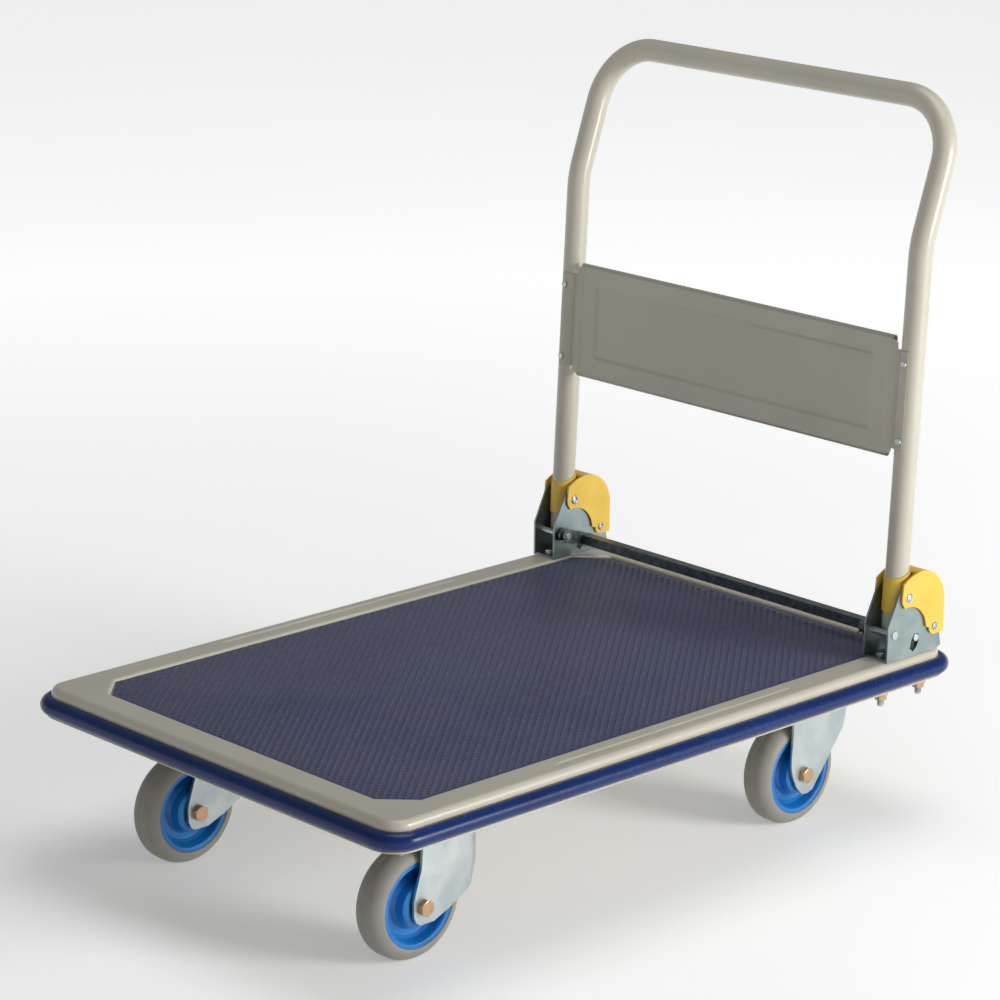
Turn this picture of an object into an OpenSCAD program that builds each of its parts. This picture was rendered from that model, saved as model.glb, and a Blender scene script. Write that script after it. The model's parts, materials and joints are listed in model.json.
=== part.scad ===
// Platform trolley with a folding push handle.
// X runs along the deck towards the handle, Y across it, Z up from the floor.
// Left and right are those of a person who stands at the handle and faces the deck,
// so left is -Y and right is +Y.

/* [Deck] */
// Overall length over the rubber bumper
deck_l = 910; // [880:5:940]
// Overall width over the rubber bumper
deck_w = 620; // [600:5:640]
// Height of the deck's painted border above the floor
deck_z = 211; // [209:1:214]
// How far the rubber bumper stands out from the deck's side
bumper_t = 13; // [11:0.5:14]
// Height of the rubber bumper
bumper_h = 24; // [22:1:26]
// Length of the ribbed mat
mat_l = 802; // [780:1:806]
// Width of the ribbed mat
mat_w = 513; // [500:1:514]
// Length of the mat's cut corners along each side
mat_cut = 35; // [20:1:45]
// Thickness of the mat
mat_t = 3; // [2:0.5:3]
// Depth of the mat's upper face below the border
mat_drop = 2.5; // [1:0.5:3]

/* [Casters] */
// Diameter of the wheels
wheel_d = 130; // [126:1:132]
// Width of the tyre
tyre_w = 40; // [36:1:40]
// Diameter of the rim that carries the tyre
rim_d = 100; // [94:1:104]
// Axle position of the fixed front casters along X
front_axle_x = -324; // [-330:1:-318]
// Axle position of the swivel rear casters along X, wheels trailing forwards
rear_axle_x = 286; // [280:1:292]
// Distance of each wheel's mid-plane from the centre line
track_y = 190; // [186:1:192]
// Offset of the rear casters' swivel axis behind their axle
swivel_offset = 30; // [28:1:34]

/* [Handle] */
// Overall height of the trolley with the handle up
handle_z = 870; // [860:1:880]
// Diameter of the handle tube
tube_d = 28; // [27:0.5:28]
// Wall thickness of the handle tube
tube_wall = 2; // [1.5:0.5:2.5]
// Distance of each handle leg from the centre line
leg_y = 276; // [275:0.5:277]
// Backward lean of the legs in degrees
leg_lean = 2.6; // [2:0.1:3]
// Radius of the grip's corners
corner_r = 72; // [60:1:80]
// X position of the grip bar
grip_x = 440; // [430:1:441]

/* [Hidden] */
$fn = 48;

// Colours
beige = "#bcb6a6";
navy = "#1d3566";
slate = "#42475f";
zinc = "#aab4b4";
dark_steel = "#6f7675";
brass = "#c8a87c";
yellow = "#f4d55a";
rubber = "#86867c";
blue = "#0a62b4";

// Deck
sheet = 1.6;                            // deck sheet thickness
pan_l = deck_l - 2 * bumper_t;
pan_w = deck_w - 2 * bumper_t;
pan_r = 27;                             // corner radius of the pan
edge_r = 6;                             // rounding of the pan's top edge
bumper_top = deck_z - 10.6;
lip_t = 3;                              // folded lip below the bumper
lip_out = 9;
pan_bottom = bumper_top - bumper_h - lip_t;
mat_top = deck_z - mat_drop;
floor_top = mat_top - mat_t;            // upper face of the recess floor
floor_bottom = floor_top - sheet;
mat_gap = 1;                            // gap round the mat
groove_l = 375;                         // pressed groove in each long border
groove_w = 5;
groove_y = 278;
rail_bottom = 168;                      // lower face of the rails and cross members
rail_t = 2;
rail_y = [262, 290];                    // inner and outer side of a rail
rail_l = 850;
member_w = 110;

// Hinge
pivot = [367, deck_z + 74];             // fold axis, x and z
pivot_d = 8;
fit = 0.05;                             // radial clearance of a running fit
loose = 0.25;                           // radial clearance of a bolt hole
bracket_in = 16;                        // half the gap between the bracket's plates
bracket_t = 2.5;
bracket_out = bracket_in + bracket_t;
bracket_x = [334.5, 431];
stop_pin = [346.5, deck_z + 32];        // front pin that the leg rests against, x and z
stop_d = 8;
bolt_x = [348, 416];                    // bracket bolts
bolt_d = 8;
cover_in = bracket_out + 0.5;           // inner face of a cover wing from the leg's plane
cover_t = 2.5;
cover_out = cover_in + cover_t;
cover_c = [387, 270];                   // centre of the cover's rounded back
cover_r = 44;
cover_low = [415, 241];                 // lower rivet of the cover, x and z
boss_r = 12.5;
lobe_r = 9.5;
tube_r = tube_d / 2;
leg_foot = 47;                          // length of the leg below the fold axis
collar_t = 1.5;

// Release bar
arm_in = 250.5;                         // inboard face of an arm
arm_t = 3;
rod_d = 9;
rod = [385, 232.5];                     // latch rod at rest, x and z
rod_turn = 16;                          // travel of the bar in degrees
bar_x = [378, 391];
bar_z = [225, 237];
bar_t = 2;

// Casters
wheel_r = wheel_d / 2;
tyre_r = 16;                            // shoulder radius of the tyre
hub_half = 22;
fork_in = 23.5;                         // half the gap between the fork's sides
fork_t = 3.5;
fork_out = fork_in + fork_t;
axle_d = 10;
sleeve_d = 12;
plate_t = 4;
plate_bottom = rail_bottom - plate_t;
plate_l = 110;
plate_w = 100;
hole_x = 42;                            // half the bolt pattern of a caster plate
hole_y = 37;
fixed_plate_x = front_axle_x + 35;
swivel_x = rear_axle_x + swivel_offset;
race_r = 28;                            // ball circle of the swivel bearing
ball_d = 6;
crown_top = 153.5;
race_bottom = 157.5;
kingpin_d = 12;
bearing_d = 32;
bearing_w = 10;

// ---------------------------------------------------------------- helpers

// Sweeps a profile round a rectangle with round corners. Profile x = 0 is the
// rectangle's line, positive x points outwards, and profile y is height.
module frame_sweep(l, w, r) {
    for (m = [0, 1]) {
        mirror([0, m, 0]) translate([0, w / 2, 0]) rotate([90, 0, 90])
            linear_extrude(l - 2 * r, center = true) children();
        mirror([m, 0, 0]) translate([l / 2, 0, 0]) rotate([90, 0, 0])
            linear_extrude(w - 2 * r, center = true) children();
    }
    for (mx = [0, 1], my = [0, 1])
        mirror([mx, 0, 0]) mirror([0, my, 0]) translate([l / 2 - r, w / 2 - r, 0])
            rotate_extrude(angle = 90, $fn = 96) translate([r, 0]) children();
}

// Rectangle with round corners
module round_rect(l, w, r) {
    square([l - 2 * r, w], center = true);
    square([l, w - 2 * r], center = true);
    for (x = [-1, 1], y = [-1, 1])
        translate([x * (l / 2 - r), y * (w / 2 - r)]) circle(r);
}

// Rectangle with its corners cut off at 45 degrees
module cut_rect(l, w, c) {
    polygon([[-l / 2 + c, -w / 2], [l / 2 - c, -w / 2], [l / 2, -w / 2 + c],
        [l / 2, w / 2 - c], [l / 2 - c, w / 2], [-l / 2 + c, w / 2],
        [-l / 2, w / 2 - c], [-l / 2, -w / 2 + c]]);
}

// Places a shape drawn in X (along) and Z (up) as a plate from y0 to y1
module side_plate(y0, y1) {
    translate([0, y1, 0]) rotate([90, 0, 0]) linear_extrude(y1 - y0) children();
}

// Cylinder along Y from y0 to y1, at x and z
module y_rod(p, d, y0, y1) {
    translate([p[0], y0, p[1]]) rotate([-90, 0, 0]) cylinder(d = d, h = y1 - y0);
}

// Cylinder along Z
module z_rod(x, y, d, z0, z1) {
    translate([x, y, z0]) cylinder(d = d, h = z1 - z0);
}

// Hexagonal prism along Z, across flats
module z_hex(x, y, af, z0, z1) {
    translate([x, y, z0]) cylinder(d = af / cos(30), h = z1 - z0, $fn = 6);
}

// Hexagonal prism along Y, across flats
module y_hex(p, af, y0, y1) {
    translate([p[0], y0, p[1]]) rotate([-90, 0, 0])
        cylinder(d = af / cos(30), h = y1 - y0, $fn = 6);
}

// Repeats a part of the left side, drawn at -Y, on both sides
module both_sides() {
    children();
    mirror([0, 1, 0]) children();
}

// ---------------------------------------------------------------- deck

module pan_edge() {
    z = deck_z - edge_r;
    intersection() {
        translate([-edge_r, z]) square(edge_r);
        difference() {
            translate([-edge_r, z]) circle(edge_r);
            translate([-edge_r, z]) circle(edge_r - sheet);
        }
    }
    translate([-sheet, pan_bottom]) square([sheet, z - pan_bottom]);
    translate([-sheet, pan_bottom]) square([sheet + lip_out, lip_t]);
}

module deck_pan() {
    color(beige) difference() {
        union() {
            frame_sweep(pan_l, pan_w, pan_r) pan_edge();
            translate([0, 0, deck_z - sheet]) linear_extrude(sheet) difference() {
                round_rect(pan_l - 2 * edge_r, pan_w - 2 * edge_r, pan_r - edge_r);
                cut_rect(mat_l + 2 * mat_gap, mat_w + 2 * mat_gap, mat_cut);
            }
            translate([0, 0, floor_bottom]) linear_extrude(deck_z - floor_bottom) difference() {
                cut_rect(mat_l + 2 * mat_gap + 2 * sheet, mat_w + 2 * mat_gap + 2 * sheet,
                    mat_cut + 1);
                cut_rect(mat_l + 2 * mat_gap, mat_w + 2 * mat_gap, mat_cut);
            }
            translate([0, 0, floor_bottom]) linear_extrude(sheet)
                cut_rect(mat_l + 2 * mat_gap + sheet, mat_w + 2 * mat_gap + sheet, mat_cut);
        }
        for (s = [-1, 1]) {
            translate([-groove_l / 2, s * groove_y - groove_w / 2, deck_z - 1])
                cube([groove_l, groove_w, 2]);
            for (x = bolt_x) z_rod(x, s * leg_y, bolt_d + 2 * loose, deck_z - 10, deck_z + 1);
        }
    }
}

module deck_mat() {
    color(slate) translate([0, 0, floor_top]) linear_extrude(mat_t)
        cut_rect(mat_l, mat_w, mat_cut);
}

module bumper() {
    flat = bumper_t - bumper_h / 2;
    color(navy) frame_sweep(pan_l, pan_w, pan_r) translate([0, bumper_top - bumper_h / 2])
        intersection() {
            translate([0, -bumper_h / 2]) square([bumper_t, bumper_h]);
            union() {
                translate([flat, 0]) circle(bumper_h / 2);
                translate([0, -bumper_h / 2]) square([flat, bumper_h]);
            }
        }
}

// Right-hand rail; the left one is its mirror image
module side_rail() {
    color(dark_steel) difference() {
        translate([-rail_l / 2, rail_y[0], rail_bottom])
            cube([rail_l, rail_y[1] - rail_y[0], deck_z - sheet - rail_bottom]);
        translate([-rail_l / 2 - 1, rail_y[0] + rail_t, rail_bottom + rail_t])
            cube([rail_l + 2, rail_y[1] - rail_y[0] - 2 * rail_t, deck_z]);
        for (x = bolt_x) z_rod(x, leg_y, bolt_d + 2 * loose, rail_bottom - 1, rail_bottom + 5);
    }
}

module side_rail_left() { mirror([0, 1, 0]) side_rail(); }
module side_rail_right() { side_rail(); }

module cross_member(x) {
    color(dark_steel) difference() {
        translate([x - member_w / 2, -rail_y[0], rail_bottom])
            cube([member_w, 2 * rail_y[0], floor_bottom - rail_bottom]);
        translate([x - member_w / 2 + rail_t, -rail_y[0] - 1, rail_bottom + rail_t])
            cube([member_w - 2 * rail_t, 2 * rail_y[0] + 2, deck_z]);
        for (s = [-1, 1]) caster_holes(x, s * track_y, rail_bottom - 1, rail_bottom + 5);
    }
}

module cross_member_front() { cross_member(fixed_plate_x); }
module cross_member_rear() { cross_member(swivel_x); }

module centre_stiffener() {
    x0 = fixed_plate_x + member_w / 2;
    x1 = swivel_x - member_w / 2;
    drop = 22;
    color(dark_steel) difference() {
        translate([x0, -25, floor_bottom - drop]) cube([x1 - x0, 50, drop]);
        translate([x0 - 1, -25 + rail_t, floor_bottom - drop + rail_t])
            cube([x1 - x0 + 2, 50 - 2 * rail_t, drop]);
    }
}

// ---------------------------------------------------------------- hinge brackets

module bracket_outline() {
    z0 = deck_z;
    polygon([[bracket_x[0], z0], [bracket_x[0], z0 + 43], [352.5, z0 + 80],
        [pivot[0], pivot[1] + 8], [391, z0 + 71], [402, z0 + 54], [407, z0 + 33],
        [408, z0 + 17], [bracket_x[1], z0 + 17], [bracket_x[1], z0 + 3], [420, z0]]);
    translate(pivot) circle(15);
}

// Bracket of the left side, at -leg_y
module hinge_bracket() {
    turn_r = norm(rod - stop_pin);
    rest_a = atan2(rod[1] - stop_pin[1], rod[0] - stop_pin[0]);
    spare_a = asin((rod_d / 2 + 0.4) / turn_r);
    color(zinc) difference() {
        union() {
            for (y = [-bracket_out, bracket_in])
                side_plate(-leg_y + y, -leg_y + y + bracket_t) bracket_outline();
            translate([bracket_x[0] + 2, -leg_y - bracket_in - 1, deck_z])
                cube([bracket_x[1] - bracket_x[0] - 4, 2 * bracket_in + 2, bracket_t]);
        }
        y_rod(pivot, pivot_d + 2 * fit, -leg_y - 30, -leg_y + 30);
        y_rod(stop_pin, stop_d + 2 * fit, -leg_y - 30, -leg_y + 30);
        for (x = bolt_x) z_rod(x, -leg_y, bolt_d + 2 * loose, deck_z - 1, deck_z + 5);
        translate([stop_pin[0], -leg_y - 30, stop_pin[1]]) rotate([-90, 0, 0])
            rotate([0, 0, -rest_a - spare_a]) rotate_extrude(angle = rod_turn + 2 * spare_a)
                translate([turn_r - rod_d / 2 - 0.4, 0]) square([rod_d + 0.8, 60]);
    }
}

module hinge_bracket_left() { hinge_bracket(); }
module hinge_bracket_right() { mirror([0, 1, 0]) hinge_bracket(); }

module bracket_bolts() {
    z = deck_z + bracket_t;
    color(zinc) both_sides() for (x = bolt_x) {
        z_hex(x, -leg_y, 13, z, z + 5.3);
        z_rod(x, -leg_y, bolt_d, rail_bottom - 16, z + 1);
    }
}

module bracket_washers() {
    color(brass) both_sides() for (x = bolt_x) difference() {
        z_rod(x, -leg_y, 17, rail_bottom - 1.6, rail_bottom);
        z_rod(x, -leg_y, bolt_d + 2 * loose, rail_bottom - 3, rail_bottom + 1);
    }
}

module bracket_nuts() {
    z = rail_bottom - 1.6;
    color(brass) both_sides() for (x = bolt_x) difference() {
        z_hex(x, -leg_y, 13, z - 6.5, z);
        z_rod(x, -leg_y, bolt_d + 2 * fit, z - 8, z + 1);
    }
}

module stop_pins() {
    color(zinc) both_sides() {
        y_rod(stop_pin, stop_d, -leg_y - bracket_out, -arm_in + 7);
        y_rod(stop_pin, 10, -leg_y - bracket_out - 1, -leg_y - bracket_out);
    }
}

module stop_pin_clips() {
    color(dark_steel) both_sides() difference() {
        y_rod(stop_pin, 14, -arm_in + 4.5, -arm_in + 6);
        y_rod(stop_pin, stop_d + 2 * fit, -arm_in, -arm_in + 8);
    }
}

// ---------------------------------------------------------------- handle

// The handle's own frame: z runs up along the legs from the fold axis
module leaning() {
    translate([pivot[0], 0, pivot[1]]) rotate([0, leg_lean, 0]) children();
}

// The legs run straight up to a bend, and lean further back above it
function hundredths(v) = round(100 * v) / 100;
bend_a = atan2(7, 24);
bend_r = 120;
bend_cut = bend_r * tan(bend_a / 2);    // straight length that the bend takes up
grip_back = grip_x - pivot[0];
grip_up = handle_z - tube_r - pivot[1];
slope_a = leg_lean + bend_a;
leg_run = (grip_up * sin(slope_a) - grip_back * cos(slope_a)) / sin(bend_a);
slope_run = (grip_back * cos(leg_lean) - grip_up * sin(leg_lean)) / sin(bend_a);
leg_up = hundredths(leg_run - bend_cut);
slope_up = hundredths(slope_run - bend_cut - corner_r);

module tube_section() {
    difference() {
        circle(tube_r);
        circle(tube_r - tube_wall);
    }
}

// Frame at the centre of the left leg's bend: x towards the grip, y up, z away from
// the other leg
module at_bend() {
    translate([bend_r, -leg_y, leg_up]) rotate([90, 0, 0]) children();
}

module bent_tube() {
    for (m = [0, 1]) mirror([0, m, 0]) {
        translate([0, -leg_y, -leg_foot]) linear_extrude(leg_foot + leg_up) tube_section();
        at_bend() intersection() {
            rotate([0, 0, 90]) rotate_extrude(angle = 90)
                translate([bend_r, 0]) tube_section();
            rotate([0, 0, -bend_a]) translate([-2 * bend_r, -bend_r, -tube_d])
                cube([2 * bend_r, bend_r, 2 * tube_d]);
        }
        at_bend() rotate([0, 0, -bend_a]) translate([-bend_r, 0, 0]) {
            rotate([-90, 0, 0]) linear_extrude(slope_up) tube_section();
            translate([0, slope_up, -corner_r]) rotate([0, -90, 0])
                rotate_extrude(angle = 90) translate([corner_r, 0]) tube_section();
            translate([0, slope_up + corner_r, -leg_y]) linear_extrude(leg_y - corner_r)
                tube_section();
        }
    }
}

panel_z = [166, 302];                   // panel's lower and upper edge along the legs
tab_z = [174, 291];
panel_t = 1.5;
panel_x = -9.5;                         // front face of the panel
screw_z = [185, 276];
screw_d = 4;

module screw_holes(d) {
    for (s = [-1, 1], z = screw_z)
        translate([-tube_r - 5, s * leg_y, z]) rotate([0, 90, 0]) cylinder(d = d, h = 9);
}

module handle_tube() {
    color(beige) leaning() difference() {
        bent_tube();
        for (s = [-1, 1])
            translate([0, s * leg_y - 20, 0]) rotate([-90, 0, 0])
                cylinder(d = pivot_d + 2 * fit, h = 40);
        screw_holes(screw_d + 2 * fit);
    }
}

module handle_panel() {
    edge_y = leg_y - sqrt(pow(tube_r + 1, 2) - pow(panel_x + 0.5, 2)) + 0.6;
    tab_a = 52;                         // reach of the tab towards the panel
    over_a = 18;                        // reach of the tab past the leg's front line
    color(beige) leaning() difference() {
        union() {
            translate([panel_x, -edge_y, panel_z[0]])
                cube([panel_t, 2 * edge_y, panel_z[1] - panel_z[0]]);
            for (z = [panel_z[0], panel_z[1] - panel_t])
                translate([panel_x, -edge_y + 2, z]) cube([9, 2 * edge_y - 4, panel_t]);
            both_sides() translate([0, -leg_y, tab_z[0]]) rotate([0, 0, 180 - tab_a])
                rotate_extrude(angle = tab_a + over_a)
                    translate([tube_r + fit, 0]) square([panel_t, tab_z[1] - tab_z[0]]);
        }
        translate([panel_x - 1, -218, 190]) cube([1.7, 436, 92]);
        screw_holes(screw_d + 2 * fit);
    }
}

module panel_screws() {
    head_x = -tube_r - fit - panel_t;
    color(zinc) leaning() for (s = [-1, 1], z = screw_z)
        translate([head_x, s * leg_y, z]) rotate([0, 90, 0]) {
            translate([0, 0, -2.2]) cylinder(d = 8, h = 2.2);
            cylinder(d = screw_d, h = 6);
        }
}

// Outline of a cover's wing in x and z
module wing_outline() {
    difference() {
        union() {
            translate(pivot) circle(boss_r);
            translate(cover_low) circle(lobe_r);
            polygon([[pivot[0] - boss_r, pivot[1]], [pivot[0] - boss_r + 2, pivot[1] + 18],
                [pivot[0] - 4, cover_c[1] + 37], [pivot[0] + 5, cover_c[1] + 41],
                [cover_c[0] - 4, cover_c[1] + 43.5], cover_c + [0, 20],
                cover_c + [cover_r, 0], [cover_c[0] + cover_r, cover_low[1] - lobe_r],
                [cover_low[0], cover_low[1] - lobe_r], [cover_low[0] - lobe_r, cover_low[1]],
                [pivot[0], pivot[1] - 30]]);
            intersection() {
                translate(cover_c) circle(cover_r);
                translate(cover_c + [-5, 0]) square(60);
            }
        }
        translate([366, 240]) circle(34);
        translate([330, 200]) square([36, pivot[1] - 200 - boss_r]);
    }
}

// Everything inside the cover's shell
module wing_hollow() {
    intersection() {
        translate(cover_c) circle(cover_r - cover_t);
        translate(cover_c + [-60, 0]) square([120, 60]);
    }
    translate([cover_c[0] - 60, 200]) square([60 + cover_r - cover_t, cover_c[1] - 200]);
    translate([330, 200]) square([pivot[0] + tube_r - 330, 140]);
}

// Cover of the left leg: two wings, a rounded back and a collar round the leg
module hinge_cover() {
    color(yellow) difference() {
        union() {
            side_plate(-leg_y - cover_out, -leg_y - cover_in) wing_outline();
            side_plate(-leg_y + cover_in, -leg_y + cover_out) wing_outline();
            side_plate(-leg_y - cover_in - 1, -leg_y + cover_in + 1) difference() {
                wing_outline();
                wing_hollow();
            }
            leaning() translate([0, -leg_y, -19]) difference() {
                cylinder(r = tube_r + collar_t, h = 49);
                translate([-30, -30, 33]) rotate([0, -24, 0]) cube([80, 60, 60]);
            }
            side_plate(-leg_y - 6, -leg_y + 6) intersection() {
                wing_outline();
                translate([pivot[0] + tube_r - 1, pivot[1] + 18]) square([12, 30]);
            }
        }
        leaning() translate([0, -leg_y, -60]) cylinder(r = tube_r + fit, h = 160);
        y_rod(pivot, pivot_d + 2 * fit, -leg_y - 40, -leg_y + 40);
        y_rod(cover_low, 6 + 2 * fit, -leg_y - 40, -leg_y + 40);
    }
}

module hinge_cover_left() { hinge_cover(); }
module hinge_cover_right() { mirror([0, 1, 0]) hinge_cover(); }

module pivot_rivets() {
    color(zinc) both_sides() {
        y_rod(pivot, pivot_d, -leg_y - cover_out - 1, -leg_y + cover_out + 1);
        y_rod(pivot, 13, -leg_y - cover_out - 2.5, -leg_y - cover_out);
        y_rod(pivot, 13, -leg_y + cover_out, -leg_y + cover_out + 2.5);
    }
}

module cover_rivets() {
    color(zinc) both_sides() {
        y_rod(cover_low, 6, -leg_y - cover_out - 1, -leg_y + cover_out + 1);
        y_rod(cover_low, 8, -leg_y - cover_in, -leg_y + cover_in);
        y_rod(cover_low, 10, -leg_y - cover_out - 2, -leg_y - cover_out);
        y_rod(cover_low, 10, -leg_y + cover_out, -leg_y + cover_out + 2);
    }
}

// ---------------------------------------------------------------- release bar

module arm_outline() {
    difference() {
        union() {
            translate(stop_pin) circle(9);
            polygon([stop_pin + [-2, 8.8], [bar_x[1], bar_z[1]], [bar_x[1], bar_z[0]],
                [bar_x[0], bar_z[0]], stop_pin + [-2, -8.8]]);
        }
        translate(stop_pin) circle(d = stop_d + 2 * fit);
    }
}

module release_bar() {
    w = arm_in + arm_t;
    color(zinc) {
        difference() {
            translate([bar_x[0], -w + 1, bar_z[0]])
                cube([bar_x[1] - bar_x[0], 2 * w - 2, bar_z[1] - bar_z[0]]);
            translate([bar_x[0] + bar_t, -w, bar_z[0] - 1])
                cube([bar_x[1] - bar_x[0] - 2 * bar_t, 2 * w, bar_z[1] - bar_z[0] - bar_t + 1]);
        }
        both_sides() side_plate(-w, -arm_in) arm_outline();
    }
}

module latch_rods() {
    color(zinc) both_sides() y_rod(rod, rod_d, -leg_y - bracket_out - 1, -arm_in - arm_t);
}

// Torsion springs on the stop pins: one end hooks on the bracket's front edge, the
// other presses up under the bar
module return_springs() {
    wire = 1.6;
    coil_r = 5.2;
    outer_y = -arm_in + 1;
    inner_y = -arm_in + 3;
    low_z = stop_pin[1] - coil_r;
    hook_x = bracket_x[0] - wire / 2;
    leg_a = 113.4;                      // direction of the leg under the bar
    color(dark_steel) both_sides() {
        for (y = [outer_y, inner_y]) translate([stop_pin[0], y, stop_pin[1]])
            rotate([90, 0, 0]) rotate_extrude() translate([coil_r, 0]) circle(d = wire, $fn = 24);
        y_rod([stop_pin[0], low_z], 1, outer_y, inner_y);
        translate([stop_pin[0], outer_y, stop_pin[1]]) rotate([0, leg_a, 0])
            translate([coil_r, 0, 0]) cylinder(d = wire, h = 42, $fn = 24);
        translate([hook_x, inner_y, low_z]) rotate([0, 90, 0])
            cylinder(d = wire, h = stop_pin[0] - hook_x, $fn = 24);
        y_rod([hook_x, low_z], wire, -leg_y + bracket_in + 0.5, inner_y);
    }
}

// ---------------------------------------------------------------- casters

module caster_holes(x, y, z0, z1) {
    for (i = [-1, 1], j = [-1, 1])
        z_rod(x + i * hole_x, y + j * hole_y, bolt_d + 2 * loose, z0, z1);
}

module caster_plate(x, y) {
    difference() {
        translate([x, y, plate_bottom]) linear_extrude(plate_t)
            round_rect(plate_l, plate_w, 10);
        caster_holes(x, y, plate_bottom - 1, plate_bottom + plate_t + 1);
    }
}

// Plan of a fork round a wheel whose axle is at x = 0: two straight sides that
// narrow a little behind the crease and a rounded back
module fork_plan(x0, crease, back, thick) {
    wide = fork_in;
    narrow = fork_in - 4;
    module half_plan(t) {
        polygon([[x0, 0], [x0, wide + t], [crease, wide + t], [back - 14, narrow + t],
            [back - 4 + t * 0.7, narrow - 9 + t * 0.7], [back + t, narrow - 18], [back + t, 0]]);
    }
    difference() {
        union() {
            half_plan(thick);
            mirror([0, 1]) half_plan(thick);
        }
        translate([-0.01, 0]) {
            half_plan(0);
            mirror([0, 1]) half_plan(0);
        }
    }
}

// Side view of the fixed fork round its axle, x and z
module fixed_outline() {
    polygon([[-14.5, -9], [-15, 8], [-12, 20], [-4, 44], [-2.5, 66], [-2.5, 99],
        [76, 99], [76, 46], [68, 24], [61, 9], [52, 0], [34, -11], [14, -19.5],
        [-6, -19.5], [-11, -16]]);
}

// Side view of the swivel fork round its axle, x and z
module swivel_outline() {
    top = crown_top - wheel_r;
    polygon([[-14, -13], [-21, 2], [-23.5, 12], [-24, 24], [-22, 48], [-22, top],
        [78, top], [76, 70], [60, 45], [43, 20], [24, -10], [15, -22], [6, -25],
        [-4, -24]]);
}

module fixed_fork(s) {
    color(zinc) translate([0, s * track_y, 0]) difference() {
        union() {
            intersection() {
                translate([front_axle_x, 0, 0]) linear_extrude(plate_bottom)
                    fork_plan(-30, 24, 72, fork_t);
                translate([front_axle_x, 0, wheel_r]) side_plate(-40, 40) fixed_outline();
            }
            translate([front_axle_x + 4, -fork_in - 1, plate_bottom - fork_t])
                cube([66, 2 * fork_in + 2, fork_t]);
            caster_plate(fixed_plate_x, 0);
        }
        y_rod([front_axle_x, wheel_r], axle_d + 2 * fit, -40, 40);
    }
}

module fixed_fork_left() { fixed_fork(-1); }
module fixed_fork_right() { fixed_fork(1); }

module swivel_plate(s) {
    color(zinc) difference() {
        union() {
            caster_plate(swivel_x, s * track_y);
            z_rod(swivel_x, s * track_y, 2 * race_r + 16, race_bottom, plate_bottom + 1);
        }
        z_rod(swivel_x, s * track_y, kingpin_d, race_bottom - 1, plate_bottom + plate_t + 1);
        ball_groove(s);
    }
}

module ball_groove(s) {
    translate([swivel_x, s * track_y, (crown_top + race_bottom) / 2])
        rotate_extrude() translate([race_r, 0]) circle(ball_d / 2 + fit);
}

module swivel_plate_left() { swivel_plate(-1); }
module swivel_plate_right() { swivel_plate(1); }

module kingpins() {
    z0 = crown_top - fork_t;
    color(dark_steel) both_sides()
        z_rod(swivel_x, -track_y, kingpin_d, z0 - 10, plate_bottom + plate_t);
}

module kingpin_nuts() {
    z1 = crown_top - fork_t - 0.3;
    color(zinc) both_sides() difference() {
        z_hex(swivel_x, -track_y, 19, z1 - 8, z1);
        z_rod(swivel_x, -track_y, kingpin_d + 2 * fit, z1 - 9, z1 + 1);
    }
}

module swivel_fork(s) {
    crown_r = race_r + 12;
    color(zinc) difference() {
        union() {
            intersection() {
                translate([rear_axle_x, s * track_y, 0]) linear_extrude(crown_top)
                    fork_plan(-30, 28, 72, fork_t);
                translate([rear_axle_x, s * track_y, wheel_r]) side_plate(-40, 40)
                    swivel_outline();
            }
            z_rod(swivel_x, s * track_y, 2 * crown_r, crown_top - fork_t, crown_top);
            translate([rear_axle_x - 22, s * track_y - fork_in - 1, crown_top - fork_t])
                cube([70, 2 * fork_in + 2, fork_t]);
        }
        z_rod(swivel_x, s * track_y, kingpin_d + 2 * fit, 120, 160);
        ball_groove(s);
        translate([0, s * track_y, 0])
            y_rod([rear_axle_x, wheel_r], axle_d + 2 * fit, -40, 40);
    }
}

module swivel_fork_left() { swivel_fork(-1); }
module swivel_fork_right() { swivel_fork(1); }

module swivel_balls(s) {
    count = 20;
    color("silver") for (i = [0 : count - 1])
        translate([swivel_x, s * track_y, (crown_top + race_bottom) / 2])
            rotate([0, 0, i * 360 / count]) translate([race_r, 0, 0])
                sphere(d = ball_d, $fn = 24);
}

module swivel_balls_left() { swivel_balls(-1); }
module swivel_balls_right() { swivel_balls(1); }

module plate_bolts(x) {
    color(zinc) both_sides() for (i = [-1, 1], j = [-1, 1]) {
        z_hex(x + i * hole_x, -track_y + j * hole_y, 13, plate_bottom - 5.3, plate_bottom);
        z_rod(x + i * hole_x, -track_y + j * hole_y, bolt_d, plate_bottom - 1,
            rail_bottom + rail_t + 9);
    }
}

module plate_nuts(x) {
    z = rail_bottom + rail_t;
    color(zinc) both_sides() for (i = [-1, 1], j = [-1, 1]) difference() {
        z_hex(x + i * hole_x, -track_y + j * hole_y, 13, z, z + 6.5);
        z_rod(x + i * hole_x, -track_y + j * hole_y, bolt_d + 2 * fit, z - 1, z + 8);
    }
}

module front_caster_bolts() { plate_bolts(fixed_plate_x); }
module front_caster_nuts() { plate_nuts(fixed_plate_x); }
module rear_caster_bolts() { plate_bolts(swivel_x); }
module rear_caster_nuts() { plate_nuts(swivel_x); }

// Axle parts of the wheel at x, y; the bolt heads face -Y
module axle_bolt(x, y) {
    p = [x, wheel_r];
    color(brass) {
        y_hex(p, 17, y - fork_out - 6.4, y - fork_out);
        y_rod(p, axle_d, y - fork_out - 1, y + fork_out + 12);
    }
}

module axle_nut(x, y) {
    p = [x, wheel_r];
    color(brass) difference() {
        y_hex(p, 17, y + fork_out, y + fork_out + 9);
        y_rod(p, axle_d + 2 * fit, y + fork_out - 1, y + fork_out + 10);
    }
}

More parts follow.
